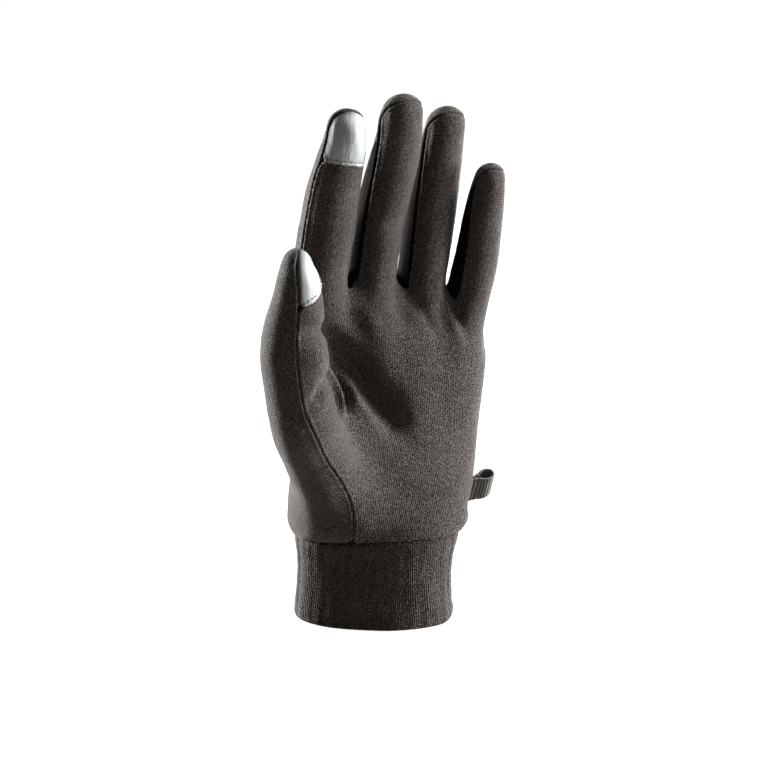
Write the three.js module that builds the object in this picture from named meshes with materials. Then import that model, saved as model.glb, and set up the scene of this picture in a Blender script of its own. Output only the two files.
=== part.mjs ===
// A left-hand stretch glove in the form that a hand gives it, standing on its cuff.
// Millimetres, +Z up to the fingertips, palm towards -Y, thumb towards -X,
// origin at the centre of the cuff's open end.
import * as THREE from 'three';

// Driving sizes.
const wall = 1.6;          // fleece-backed stretch knit
const cuffWall = 2.6;      // the same knit, folded double
const cuffHeight = 37;     // hem to wrist seam
const seamGap = 0.45;      // between two pieces along a seam
const seamDip = 0.5;       // how far the outer face sinks at a seam
const sharpestMitre = 0.012; // limits how far a pointed end draws back
const webbing = {
  width: 13, thick: 1.2, reach: 10.2, fork: 3.2, gap: 6.8, height: 53, rise: 0.2, lean: 28, clear: 0.7,
};

// Fillets where the bodies of the glove meet.
const fillets = { betweenFingers: 2, fingersToHand: 11, thumbToWeb: 12, thumbToHand: 12 };
const tipLength = 1.15;    // a fingertip's length beyond the last joint row, per half depth
const roundness = 2.3;     // exponent of the hand's sections: 2 is an ellipse
const topRounding = 10;    // of the hand's upper edge between the digits

// Mesh fineness: columns across a digit's face, and rows along the parts.
const digitColumns = 6;
const gussetColumns = 3;
const thumbColumns = 8;
const cuffSides = 40;
const rows = {
  hand: 15, web: 5, finger: 13, thumb: 10, padOfIndex: 4, padOfThumb: 3, tipFront: 2, tipBack: 4,
};
const settling = { panel: 24, pad: 10, gusset: 14 };

const finishes = {
  knit: { colour: 0x3d3835, roughness: 0.95 },
  cuff: { colour: 0x37322f, roughness: 0.95 },
  pad: { colour: 0xb9bfc0, roughness: 0.6 },
  webbing: { colour: 0x2c2d2b, roughness: 0.8 },
};

const vec = (x, y, z) => new THREE.Vector3(x, y, z);
const mix = (a, b, t) => a + (b - a) * t;
const radians = (degrees) => degrees * Math.PI / 180;

// Digits. Each joint row has a centre, half the width from side to side, and half the
// depth from back to front. A digit starts inside the hand; root is the share of its
// length at which it leaves the hand, and pad where a touch pad begins, later by padSlant on
// the side that faces the next digit, and sooner on the other. towards is that side, and
// tipLean says where the seam crosses the fingertip: 0 is its back, 90 its very tip.
const digits = {
  index: {
    towards: vec(1, 0, 0), root: 0.275, pad: 0.83, padSlant: 0, tipLean: 100,
    joints: [
      { x: -20, y: 3, z: 108, half: 12, deep: 11.5 },
      { x: -26.2, y: 1.5, z: 147, half: 12.4, deep: 12.2 },
      { x: -25.2, y: -6, z: 180, half: 12.9, deep: 11.6 },
      { x: -24.8, y: -16, z: 206, half: 11.2, deep: 9.8 },
      { x: -23.4, y: -22.5, z: 221, half: 8.8, deep: 8 },
    ],
  },
  middle: {
    towards: vec(1, 0, 0), root: 0.262, tipLean: 122,
    joints: [
      { x: -2, y: 4, z: 108, half: 11.2, deep: 11.5 },
      { x: -1.4, y: 2, z: 148, half: 11, deep: 12 },
      { x: 0.8, y: -6.5, z: 185, half: 11.3, deep: 11.6 },
      { x: 2.6, y: -17, z: 212, half: 11.2, deep: 9.8 },
      { x: 1.8, y: -23.5, z: 228, half: 9.6, deep: 8.4 },
    ],
  },
  ring: {
    towards: vec(1, 0, 0), root: 0.262, tipLean: 122,
    joints: [
      { x: 14.5, y: 3, z: 104, half: 10.8, deep: 11.5 },
      { x: 23, y: 1.2, z: 145, half: 10.8, deep: 12 },
      { x: 25.6, y: -5, z: 181, half: 11.3, deep: 11.6 },
      { x: 26, y: -13, z: 208, half: 10.2, deep: 9.4 },
      { x: 25.4, y: -19, z: 222.2, half: 9.2, deep: 8 },
    ],
  },
  little: {
    towards: vec(1, 0, 0), root: 0.28, tipLean: 118,
    joints: [
      { x: 34, y: 1, z: 98, half: 11.5, deep: 12 },
      { x: 44.2, y: -2.5, z: 136, half: 10.5, deep: 11.2 },
      { x: 46.8, y: -10, z: 163, half: 10.1, deep: 9.8 },
      { x: 45.8, y: -18, z: 185, half: 9, deep: 8.4 },
      { x: 45, y: -23.5, z: 198, half: 7, deep: 7 },
    ],
  },
  thumb: {
    towards: vec(0.47, 0.88, 0), root: 0.43, pad: 0.8, padSlant: 0.035, tipLean: 100,
    joints: [
      { x: -17, y: -5, z: 50, half: 15, deep: 15 },
      { x: -34.4, y: -15, z: 78, half: 14.5, deep: 15 },
      { x: -48.2, y: -26, z: 106, half: 14, deep: 14.2 },
      { x: -54.4, y: -33, z: 134, half: 13, deep: 14.4 },
      { x: -54.6, y: -39, z: 158, half: 10.2, deep: 10 },
      { x: -56.2, y: -41.5, z: 169.5, half: 7.2, deep: 6.6 },
    ],
  },
};
// The fold of skin and cloth between the thumb's base and the index finger's.
const webBody = {
  towards: vec(0, 0, 1),
  joints: [
    { x: -47, y: -26, z: 96, half: 13, deep: 8 },
    { x: -40, y: -14, z: 103, half: 12, deep: 6.5 },
    { x: -27, y: -4, z: 114, half: 13, deep: 8 },
  ],
};

// The hand below the fingers, by height: section centre, half sizes and turn.
const handSections = [
  { z: 30, x: 1.4, y: 0, half: 36.6, deep: 27, turn: -26 },
  { z: 38, x: 1.8, y: 0, half: 38.8, deep: 28.4, turn: -25 },
  { z: 46, x: 2.2, y: 0, half: 41.4, deep: 27.5, turn: -21 },
  { z: 64, x: 4.6, y: 0.5, half: 42.2, deep: 23, turn: -11 },
  { z: 90, x: 8.4, y: 1, half: 43.5, deep: 17.5, turn: -5 },
  { z: 115, x: 10.5, y: 0.5, half: 44, deep: 14.5, turn: -4 },
  { z: 135, x: 11, y: -0.5, half: 43, deep: 12, turn: -3 },
  { z: 150, x: 11, y: -2, half: 41, deep: 9, turn: -2 },
];
// The height at which the hand ends between the digits, from the thumb's side across.
const handTop = [
  { x: -45, z: 112 },
  { x: -30, z: 128 },
  { x: -14, z: 139 },
  { x: 10, z: 137 },
  { x: 31, z: 131 },
  { x: 50, z: 122 },
];
const cuffSections = [
  { z: 0, x: 0, y: 0, half: 36, deep: 27.6, turn: -34 },
  { z: 4, x: 0, y: 0, half: 36.4, deep: 28, turn: -34 },
  { z: 14, x: 0.2, y: 0, half: 35.4, deep: 27, turn: -32 },
  { z: 26, x: 0.8, y: 0, half: 35, deep: 26.6, turn: -29 },
  { z: 37, x: 1.8, y: 0, half: 37.4, deep: 27.6, turn: -25 },
];

// Soft folds: a line on the glove, how far it is sunk (or raised, if negative) and how wide.
const folds = [
  {
    name: 'thumb valley', sink: 6, wide: 8,
    path: [[-34, -8, 138], [-19, -11, 118], [-5, -12, 102], [8, -15, 82]],
  },
  {
    name: 'thumb ridge', sink: -2, wide: 3,
    path: [[-30, -11, 126], [-20, -13, 114], [-8, -15, 100], [-1, -16, 86]],
  },
  {
    name: 'thumb pocket', sink: 3.4, wide: 3.4,
    path: [[-30, -14, 120], [-23, -15, 106], [-22, -17, 92]],
  },
  {
    name: 'ring valley', sink: 2.4, wide: 6,
    path: [[11, -13, 150], [17, -14, 138], [24, -15, 122]],
  },
  {
    name: 'little ridge', sink: -1.6, wide: 4.5,
    path: [[25, -12, 148], [31, -15, 134], [36, -15, 118]],
  },
];
const foldSteps = 10;
const foldFade = 0.7;      // exponent of the fade towards a fold's two ends

// The value of a column at a given place in a table, by smooth interpolation.
function atPlace(rows, place, column, at) {
  let i = 0;
  while (i < rows.length - 2 && at > rows[i + 1][place]) i += 1;
  const before = rows[Math.max(i - 1, 0)];
  const a = rows[i];
  const b = rows[i + 1];
  const after = rows[Math.min(i + 2, rows.length - 1)];
  const span = b[place] - a[place];
  const t = THREE.MathUtils.clamp((at - a[place]) / span, 0, 1);
  const slopeA = span * (b[column] - before[column]) / (b[place] - before[place]);
  const slopeB = span * (after[column] - a[column]) / (after[place] - a[place]);
  const t2 = t * t;
  const t3 = t2 * t;
  return a[column] * (2 * t3 - 3 * t2 + 1) + slopeA * (t3 - 2 * t2 + t)
    + b[column] * (3 * t2 - 2 * t3) + slopeB * (t3 - t2);
}

// The frame and half sizes of a digit at a share t of its length, and a row of them.
function frameOf(digit, t) {
  const { axis, rows, towards } = digit;
  const along = axis.getTangent(t);
  const side = towards.clone().addScaledVector(along, -towards.dot(along)).normalize();
  const front = side.clone().cross(along);
  const half = atPlace(rows, 't', 'half', t);
  const deep = atPlace(rows, 't', 'deep', t);
  return { centre: axis.getPoint(t), along, side, front, half, deep };
}
const stationCount = 18;
for (const digit of [...Object.values(digits), webBody]) {
  const { joints } = digit;
  const centres = joints.map((j) => vec(j.x, j.y, j.z));
  digit.axis = new THREE.CatmullRomCurve3(centres, false, 'centripetal');
  digit.rows = joints.map((j, i) => ({ ...j, t: i / (joints.length - 1) }));
  digit.stations = [];
  for (let i = 0; i <= stationCount; i += 1) digit.stations.push(frameOf(digit, i / stationCount));
}

// How far a point lies outside an ellipsoid-like section, to first order.
function outside(u, v, w, a, b, c, power) {
  const [p, q, r] = [Math.abs(u / a), Math.abs(v / b), Math.abs(w / c)];
  const sum = p ** power + q ** power + r ** power;
  if (sum < 1e-6) return -Math.min(a, b);
  const level = sum ** (1 / power);
  const less = power - 1;
  const slope = Math.hypot(p ** less / a, q ** less / b, r ** less / c) / level ** less;
  return (level - 1) / slope;
}

const offset = vec(0, 0, 0);
function outsideDigit(p, digit) {
  const { stations } = digit;
  let best = Infinity;
  for (let i = 0; i < stations.length - 1; i += 1) {
    const a = stations[i];
    const b = stations[i + 1];
    const dx = b.centre.x - a.centre.x;
    const dy = b.centre.y - a.centre.y;
    const dz = b.centre.z - a.centre.z;
    const length2 = dx * dx + dy * dy + dz * dz;
    const raw = ((p.x - a.centre.x) * dx + (p.y - a.centre.y) * dy + (p.z - a.centre.z) * dz) / length2;
    const t = Math.min(Math.max(raw, 0), 1);
    offset.set(p.x - a.centre.x - t * dx, p.y - a.centre.y - t * dy, p.z - a.centre.z - t * dz);
    const half = mix(a.half, b.half, t);
    const deep = mix(a.deep, b.deep, t);
    const u = mix(offset.dot(a.side), offset.dot(b.side), t);
    const v = mix(offset.dot(a.front), offset.dot(b.front), t);
    const w = raw === t ? 0 : offset.dot(a.along);
    best = Math.min(best, outside(u, v, w, half, deep, deep * tipLength, 2));
  }
  return best;
}

function outsideHand(p) {
  const z = Math.min(p.z, handSections.at(-1).z);
  const turn = radians(atPlace(handSections, 'z', 'turn', z));
  const x = p.x - atPlace(handSections, 'z', 'x', z);
  const y = p.y - atPlace(handSections, 'z', 'y', z);
  const u = x * Math.cos(turn) + y * Math.sin(turn);
  const v = -x * Math.sin(turn) + y * Math.cos(turn);
  const half = atPlace(handSections, 'z', 'half', z);
  const deep = atPlace(handSections, 'z', 'deep', z);
  const round = outside(u, v, 0, half, deep, 1, roundness) + topRounding;
  const above = p.z - atPlace(handTop, 'x', 'z', p.x) + topRounding;
  const corner = Math.hypot(Math.max(round, 0), Math.max(above, 0));
  return Math.min(Math.max(round, above), 0) + corner - topRounding;
}

// Joins two bodies with a soft fillet of about the given size.
function blend(a, b, size) {
  const h = Math.max(size - Math.abs(a - b), 0) / size;
  return Math.min(a, b) - h * h * size / 4;
}

const foldLines = folds.map((fold) => {
  const curve = new THREE.CatmullRomCurve3(fold.path.map((q) => vec(...q)));
  return { ...fold, points: curve.getSpacedPoints(foldSteps) };
});
const nearest = vec(0, 0, 0);
const stretch = new THREE.Line3();
// How far the folds sink the glove at a point. A fold fades out towards its two ends.
function foldDepth(p) {
  let depth = 0;
  for (const { points, sink, wide } of foldLines) {
    let closest = Infinity;
    let along = 0;
    for (let i = 0; i < points.length - 1; i += 1) {
      const t = stretch.set(points[i], points[i + 1]).closestPointToPointParameter(p, true);
      const apart = stretch.at(t, nearest).distanceToSquared(p);
      if (apart < closest) {
        closest = apart;
        along = (i + t) / (points.length - 1);
      }
    }
    depth += sink * Math.sin(Math.PI * along) ** foldFade * Math.exp(-closest / (wide * wide));
  }
  return depth;
}

// The glove's outer face is where this is zero; it is positive outside.
function field(p) {
  let fingers = outsideDigit(p, digits.index);
  for (const name of ['middle', 'ring', 'little']) {
    fingers = blend(fingers, outsideDigit(p, digits[name]), fillets.betweenFingers);
  }
  const hand = blend(outsideHand(p), fingers, fillets.fingersToHand);
  const thumb = blend(outsideDigit(p, digits.thumb), outsideDigit(p, webBody), fillets.thumbToWeb);
  return blend(hand, thumb, fillets.thumbToHand) + foldDepth(p);
}

const step = 0.3;
const probe = vec(0, 0, 0);
function slopeAt(p) {
  const d = ['x', 'y', 'z'].map((axis) => {
    probe.copy(p)[axis] += step;
    const more = field(probe);
    probe[axis] -= 2 * step;
    return (more - field(probe)) / (2 * step);
  });
  return vec(...d);
}

// Moves a point onto the glove's outer face.
const longestMove = 4;
function ontoGlove(p, times = 4) {
  for (let i = 0; i < times; i += 1) {
    const slope = slopeAt(p);
    const move = THREE.MathUtils.clamp(field(p) / slope.lengthSq(), -longestMove, longestMove);
    p.addScaledVector(slope, -move);
  }
  return p;
}

// A point on a digit, turned by an angle from the towards side (0) to the front (90).
function onDigit(digit, t, angle) {
  const f = frameOf(digit, t);
  return f.centre.addScaledVector(f.side, f.half * Math.cos(radians(angle)))
    .addScaledVector(f.front, f.deep * Math.sin(radians(angle)));
}

// A point on a digit's tip, on the half ring that leans from the back (0) over the very
// tip (90) to the front (180); the angle runs from the towards side (0) to the other (180).
function onTip(digit, angle, lean) {
  const f = frameOf(digit, 1);
  const reach = f.deep * Math.sin(radians(angle));
  return f.centre.addScaledVector(f.side, f.half * Math.cos(radians(angle)))
    .addScaledVector(f.front, -reach * Math.cos(radians(lean)))
    .addScaledVector(f.along, reach * tipLength * Math.sin(radians(lean)));
}

// A line on the glove through a few guide points, in equal steps.
function lineOnGlove(guides, steps) {
  const curve = new THREE.CatmullRomCurve3(guides, false, 'centripetal');
  return curve.getSpacedPoints(steps).map((p) => ontoGlove(p));
}

// A point on a table's section at a height; the angle runs from +X towards the palm.
function onSection(rows, z, angle) {
  const turn = radians(atPlace(rows, 'z', 'turn', z));
  const [c, s] = [Math.cos(radians(angle)), -Math.sin(radians(angle))];
  const round = (Math.abs(c) ** roundness + Math.abs(s) ** roundness) ** (-1 / roundness);
  const u = atPlace(rows, 'z', 'half', z) * c * round;
  const v = atPlace(rows, 'z', 'deep', z) * s * round;
  const x = atPlace(rows, 'z', 'x', z) + u * Math.cos(turn) - v * Math.sin(turn);
  const y = atPlace(rows, 'z', 'y', z) + u * Math.sin(turn) + v * Math.cos(turn);
  return vec(x, y, z);
}

// A sheet of cloth as a net of four-sided cells. Held points stay on a seam.
class Sheet {
  constructor() {
    this.points = [];
    this.held = [];
    this.cells = [];
    this.known = new Map();
  }

  // The number of a point, the same for two lines that meet there.
  add(point, held) {
    const key = point.toArray().map((c) => Math.round(c * 50)).join();
    if (!this.known.has(key)) {
      this.known.set(key, this.points.length);
      this.points.push(point.clone());
      this.held.push(held);
    }
    return this.known.get(key);
  }

  line(points, held) {
    return points.map((p, i) => this.add(p, held || i === 0 || i === points.length - 1));
  }

  // Fills the space between four lines. Bottom and top run the same way, as left and right
  // do. Between them the net follows the given shape, or else the four lines.
  fill(bottom, top, left, right, shape) {
    const [across, up] = [bottom.length - 1, left.length - 1];
    const at = (id) => this.points[id];
    const net = [];
    for (let j = 0; j <= up; j += 1) {
      const row = [];
      for (let i = 0; i <= across; i += 1) {
        const [s, t] = [i / across, j / up];
        const p = shape ? shape(s, t) : vec(0, 0, 0)
          .addScaledVector(at(bottom[i]), 1 - t)
          .addScaledVector(at(top[i]), t)
          .addScaledVector(at(left[j]), 1 - s)
          .addScaledVector(at(right[j]), s)
          .addScaledVector(at(bottom[0]), -(1 - s) * (1 - t))
          .addScaledVector(at(bottom[across]), -s * (1 - t))
          .addScaledVector(at(top[0]), -(1 - s) * t)
          .addScaledVector(at(top[across]), -s * t);
        if (j === 0) row.push(bottom[i]);
        else if (j === up) row.push(top[i]);
        else if (i === 0) row.push(left[j]);
        else if (i === across) row.push(right[j]);
        else {
          this.points.push(p);
          this.held.push(false);
          row.push(this.points.length - 1);
        }
      }
      net.push(row);
    }
    for (let j = 0; j < up; j += 1) {
      for (let i = 0; i < across; i += 1) {
        const cell = [net[j][i], net[j][i + 1], net[j + 1][i + 1], net[j + 1][i]];
        this.cells.push(cell.filter((id, k) => id !== cell[(k + 1) % 4]));
      }
    }
  }

  neighbours() {
    const near = this.points.map(() => new Set());
    for (const cell of this.cells) {
      cell.forEach((id, k) => {
        const next = cell[(k + 1) % cell.length];
        near[id].add(next);
        near[next].add(id);
      });
    }
    return near;
  }

  // Evens out the net while it stays on the glove.
  settle(times) {
    const near = this.neighbours();
    for (let n = 0; n < times; n += 1) {
      const middles = near.map((ids) => {
        const sum = vec(0, 0, 0);
        ids.forEach((id) => sum.add(this.points[id]));
        return sum.divideScalar(ids.size);
      });
      this.points.forEach((p, i) => {
        if (!this.held[i]) ontoGlove(p.lerp(middles[i], 0.6), n < times - 1 ? 1 : 4);
      });
    }
  }

  // The free edges of the net, each with the corner across its cell.
  freeEdges() {
    const edges = new Map();
    for (const cell of this.cells) {
      cell.forEach((a, k) => {
        const b = cell[(k + 1) % cell.length];
        const across = cell[(k + 2) % cell.length];
        if (!edges.delete(b + '>' + a)) edges.set(a + '>' + b, { a, b, across });
      });
    }
    return [...edges.values()];
  }

  // The closed wall of cloth: an outer face, an inner face and the cut edges between them.
  // At the cut edges it draws back by half a seam's gap and sinks a little.
  thicken(thickness) {
    const normals = this.points.map((p) => slopeAt(p).normalize());
    const edges = this.freeEdges();
    const drawBack = new Map();
    for (const { a, b, across } of edges) {
      const along = this.points[b].clone().sub(this.points[a]);
      const inwards = normals[a].clone().add(normals[b]).cross(along).normalize();
      if (inwards.dot(this.points[across].clone().sub(this.points[a])) < 0) inwards.negate();
      for (const id of [a, b]) drawBack.set(id, [...(drawBack.get(id) ?? []), inwards]);
    }
    const outer = [];
    const inner = [];
    this.points.forEach((p, i) => {
      const place = p.clone();
      const sides = drawBack.get(i);
      if (sides) {
        const back = seamGap / 2 / Math.max(1 + sides[0].dot(sides[1]), sharpestMitre);
        place.addScaledVector(sides[0], back).addScaledVector(sides[1], back);
      }
      inner.push(place.clone().addScaledVector(normals[i], -thickness));
      outer.push(place.addScaledVector(normals[i], sides ? -seamDip : 0));
    });
    const faces = [];
    const shift = outer.length;
    for (const cell of this.cells) {
      faces.push(cell, cell.map((id) => id + shift).reverse());
    }
    for (const { a, b } of edges) faces.push([b, a, a + shift, b + shift]);
    return solidFrom(outer.concat(inner), faces);
  }
}

// A closed geometry from points and faces of three or four corners, turned to face out.
function solidFrom(points, faces) {
  const index = [];
  for (const face of faces) {
    const [a, b, c, d] = face;
    if (face.length === 3) index.push(a, b, c);
    else if (face.length === 4) {
      const shortAC = points[a].distanceToSquared(points[c]) < points[b].distanceToSquared(points[d]);
      if (shortAC) index.push(a, b, c, a, c, d);
      else index.push(a, b, d, b, c, d);
    }
  }
  let volume = 0;
  for (let i = 0; i < index.length; i += 3) {
    volume += points[index[i]].dot(points[index[i + 1]].clone().cross(points[index[i + 2]]));
  }
  if (volume < 0) index.reverse();
  const geometry = new THREE.BufferGeometry().setFromPoints(points).setIndex(index);
  geometry.computeVertexNormals();
  return geometry;
}

// The seams. Angles on a digit run from its towards side (0) to its front (90); angles on
// the wrist run from the little finger's side (0) to the palm (90).
const names = ['index', 'middle', 'ring', 'little'];
const gussetAngle = 30;    // half the fourchette's width where it leaves the hand
const wrist = { outer: 107, crease: 79, ulnar: -5, behind: -130 };
const webPoint = vec(-42, -16, 116);
const guideShares = [0.07, 0.18, 0.36, 0.58, 0.8];
const guideEase = 1.6;     // how late a seam's angle eases to the side's

const onWrist = (angle) => onSection(handSections, cuffHeight + seamGap, angle);
function wristLine(from, to, steps) {
  return Array.from({ length: steps + 1 }, (_, i) => onWrist(mix(from, to, i / steps)));
}

const reversed = (points) => [...points].reverse();
const joined = (...parts) => parts.reduce((all, part) => all.concat(all.length ? part.slice(1) : part), []);

// A seam along a digit from its root to the shoulder, at an angle that eases to the side's.
// With a pad, its points are spaced so that the given row lies where the pad begins.
const seamSamples = 200;
function sideSeam(digit, start, rootAngle, sideAngle, steps, padRow) {
  const guides = [start];
  for (const s of guideShares) {
    guides.push(onDigit(digit, mix(digit.root, 1, s), mix(rootAngle, sideAngle, s ** guideEase)));
  }
  guides.push(onDigit(digit, 1, sideAngle));
  if (!padRow) return lineOnGlove(guides, steps);
  const curve = new THREE.CatmullRomCurve3(guides, false, 'centripetal');
  const { centre, along } = frameOf(digit, digit.pad + digit.padSlant * Math.cos(radians(sideAngle)));
  const beyond = (p) => p.clone().sub(centre).dot(along) > 0;
  const share = curve.getSpacedPoints(seamSamples).findIndex(beyond) / seamSamples;
  return Array.from({ length: steps + 1 }, (_, i) => {
    const u = i < padRow ? share * i / padRow : mix(share, 1, (i - padRow) / (steps - padRow));
    return ontoGlove(curve.getPointAt(u));
  });
}

function tipArc(digit, lean, steps) {
  const points = Array.from({ length: steps + 1 }, (_, i) => onTip(digit, 180 - 180 * i / steps, lean));
  return points.map((p) => ontoGlove(p));
}

function crotch(near, far, side) {
  const a = onDigit(near, near.root, side * gussetAngle);
  const b = onDigit(far, far.root, 180 - side * gussetAngle);
  return ontoGlove(a.lerp(b, 0.5));
}

// The row of a side seam at which a touch pad begins.
const padRow = { index: rows.finger - rows.padOfIndex, thumb: rows.thumb - rows.padOfThumb };

// Every seam of one finger, from its root's corners up to the shoulders and over the tip.
const fingers = names.map((name, i) => {
  const digit = digits[name];
  const at = (angle) => ontoGlove(onDigit(digit, digit.root, angle));
  const before = i > 0 && digits[names[i - 1]];
  const after = i < 3 && digits[names[i + 1]];
  const corners = {
    frontLeft: before ? crotch(before, digit, 1) : at(160),
    backLeft: before ? crotch(before, digit, -1) : at(160),
    frontRight: after ? crotch(digit, after, 1) : at(0),
    backRight: after ? crotch(digit, after, -1) : at(0),
  };
  const seam = (corner, side, sign, single) => {
    const rootAngle = side === 0 ? sign * gussetAngle : 180 - sign * gussetAngle;
    return sideSeam(digit, corners[corner], single ?? rootAngle, side, rows.finger, padRow[name]);
  };
  return {
    digit,
    frontLeft: seam('frontLeft', 180, 1, before ? undefined : 162),
    backLeft: seam('backLeft', 180, -1, before ? undefined : 162),
    frontRight: seam('frontRight', 0, 1, after ? undefined : 0),
    backRight: seam('backRight', 0, -1, after ? undefined : 0),
    tip: tipArc(digit, digit.tipLean, digitColumns),
    frontShoulder: tipArc(digit, 180, digitColumns),
    backShoulder: tipArc(digit, 0, digitColumns),
    frontRoot: lineOnGlove([corners.frontLeft, at(90), corners.frontRight], digitColumns),
    backRoot: lineOnGlove([corners.backLeft, at(-90), corners.backRight], digitColumns),
  };
});

// The thumb, from its outer seam (180) to the inner one (0), and the seams of the hand.
const web = ontoGlove(webPoint.clone());
const thumb = digits.thumb;
const outerRoot = ontoGlove(onDigit(thumb, thumb.root, 168));
const thumbSeams = {
  digit: thumb,
  outer: sideSeam(thumb, outerRoot, 168, 180, rows.thumb, padRow.thumb),
  inner: sideSeam(thumb, web, 0, 0, rows.thumb, padRow.thumb),
  tip: tipArc(thumb, thumb.tipLean, thumbColumns),
  frontShoulder: tipArc(thumb, 180, thumbColumns),
  backShoulder: tipArc(thumb, 0, thumbColumns),
  frontRoot: lineOnGlove([outerRoot, onDigit(thumb, thumb.root, 90), web], thumbColumns),
  backRoot: lineOnGlove([outerRoot, onDigit(thumb, thumb.root, -90), web], thumbColumns),
};
const wristOuter = onWrist(wrist.outer);
const wristCrease = onWrist(wrist.crease);
const wristUlnar = onWrist(wrist.ulnar);
const wristBehind = onWrist(wrist.behind);
function seamThrough(start, places, end, steps) {
  const seam = lineOnGlove([start, ...places.map((q) => vec(...q)), end], steps);
  seam[0] = start;
  return seam;
}
const handSeams = {
  outer: seamThrough(wristOuter, [[-24, -28, 62], [-40, -34, 84]], outerRoot, rows.hand),
  frontCrease: seamThrough(wristCrease, [[2, -24, 64], [-4, -20, 88], [-22, -16, 108]], web, rows.hand),
  backCrease: seamThrough(wristBehind, [[-32, 16, 64], [-38, 8, 92]], web, rows.hand),
  ulnar: seamThrough(wristUlnar, [[46, -5, 64], [52, -6, 90], [52, -8, 112]],
    fingers[3].frontRight[0], rows.hand + rows.web),
  radial: seamThrough(web, [[-39, -7, 128]], fingers[0].frontLeft[0], rows.web),
};

const handColumns = names.length * digitColumns;

// The palm or the back: the hand, the thumb's base and the thumb in one piece of knit
// with the four finger fronts or backs.
function makePanel(front) {
  const sheet = new Sheet();
  const root = front ? 'frontRoot' : 'backRoot';
  const side = front ? 'front' : 'back';
  const creaseLine = front ? handSeams.frontCrease : handSeams.backCrease;
  const creaseAngle = front ? wrist.crease : wrist.behind;
  const outerAngle = front ? wrist.outer : wrist.outer - 360;
  const held = (points) => sheet.line(points, true);
  const free = (points) => sheet.line(points, false);
  const top = free(joined(...fingers.map((finger) => finger[root])));
  const crease = free(creaseLine);
  const radialSide = crease.concat(held(handSeams.radial).slice(1));
  const handHem = held(wristLine(creaseAngle, wrist.ulnar, handColumns));
  sheet.fill(handHem, top, radialSide, held(handSeams.ulnar));
  const thumbRoot = free(thumbSeams[root]);
  const thumbHem = held(wristLine(outerAngle, creaseAngle, thumbColumns));
  sheet.fill(thumbHem, thumbRoot, held(handSeams.outer), crease);
  for (const finger of fingers) {
    const [left, right] = [finger[side + 'Left'], finger[side + 'Right']];
    if (front && finger === fingers[0]) {
      fillBelowPad(sheet, free(finger[root]), padLines.index, left, right, padRow.index);
    } else {
      sheet.fill(free(finger[root]), free(finger[side + 'Shoulder']), held(left), held(right));
      fillTip(sheet, finger, front);
    }
  }
  if (front) {
    fillBelowPad(sheet, thumbRoot, padLines.thumb, thumbSeams.outer, thumbSeams.inner, padRow.thumb);
  } else {
    sheet.fill(thumbRoot, free(thumbSeams.backShoulder), held(thumbSeams.outer), held(thumbSeams.inner));
    fillTip(sheet, thumbSeams, front);
  }
  sheet.settle(settling.panel);
  return sheet;
}

// The rounded end of a digit, from its shoulder line to the seam over its tip.
function fillTip(sheet, seams, front) {
  const { digit, tip } = seams;
  const steps = front ? rows.tipFront : rows.tipBack;
  const shoulder = front ? seams.frontShoulder : seams.backShoulder;
  const corner = (p) => sheet.line(Array(steps + 1).fill(p), true);
  const shape = (s, t) => onTip(digit, 180 - 180 * s, mix(front ? 180 : 0, digit.tipLean, t));
  const [left, right] = [corner(tip[0]), corner(tip.at(-1))];
  sheet.fill(sheet.line(shoulder, false), sheet.line(tip, true), left, right, shape);
}

// The lower edges of the two touch pads, from seam to seam across the front.
function padEdge(digit, left, right, row, steps) {
  return lineOnGlove([left[row], onDigit(digit, digit.pad, 90), right[row]], steps);
}
const padLines = {
  index: padEdge(digits.index, fingers[0].frontLeft, fingers[0].frontRight, padRow.index, digitColumns),
  thumb: padEdge(thumb, thumbSeams.outer, thumbSeams.inner, padRow.thumb, thumbColumns),
};

function fillBelowPad(sheet, root, edge, left, right, row) {
  const [beside, besides] = [left.slice(0, row + 1), right.slice(0, row + 1)];
  sheet.fill(root, sheet.line(edge, true), sheet.line(beside, true), sheet.line(besides, true));
}

function makePad(seams, edge, left, right, row) {
  const sheet = new Sheet();
  const shoulder = sheet.line(seams.frontShoulder, false);
  const [beside, besides] = [left.slice(row), right.slice(row)];
  sheet.fill(sheet.line(edge, true), shoulder, sheet.line(beside, true), sheet.line(besides, true));
  fillTip(sheet, seams, true);
  sheet.settle(settling.pad);
  return sheet;
}

// A fourchette: the strip between two fingers, from one fingertip down and up the next.
function makeFourchette(near, far) {
  const sheet = new Sheet();
  const front = joined(reversed(near.frontRight), far.frontLeft);
  const back = joined(reversed(near.backRight), far.backLeft);
  const point = (p) => sheet.line(Array(gussetColumns + 1).fill(p), true);
  sheet.fill(sheet.line(front, true), sheet.line(back, true), point(front[0]), point(front.at(-1)));
  sheet.settle(settling.gusset);
  return sheet;
}

// The cuff: doubled knit, open at both ends, with a rounded fold at its hem.
const cuffLevels = [0, 2, 7, 14, 21, 28, 34, cuffHeight];
const hemRounding = cuffWall / 4;
function makeCuff() {
  const points = [];
  const faces = [];
  const profile = cuffLevels.map((z) => [z, 0]).concat(reversed(cuffLevels).map((z) => [z, cuffWall]));
  profile[0][1] = hemRounding;
  profile.at(-1)[1] = cuffWall - hemRounding;
  profile.forEach(([z, inwards]) => {
    const middle = vec(atPlace(cuffSections, 'z', 'x', z), atPlace(cuffSections, 'z', 'y', z), z);
    for (let i = 0; i < cuffSides; i += 1) {
      const p = onSection(cuffSections, z, 360 * i / cuffSides);
      points.push(p.addScaledVector(middle.clone().sub(p).normalize(), inwards));
    }
  });
  profile.forEach((_, j) => {
    const here = j * cuffSides;
    const next = (j + 1) % profile.length * cuffSides;
    for (let i = 0; i < cuffSides; i += 1) {
      const right = (i + 1) % cuffSides;
      faces.push([here + i, here + right, next + right, next + i]);
    }
  });
  return solidFrom(points, faces);
}

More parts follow.
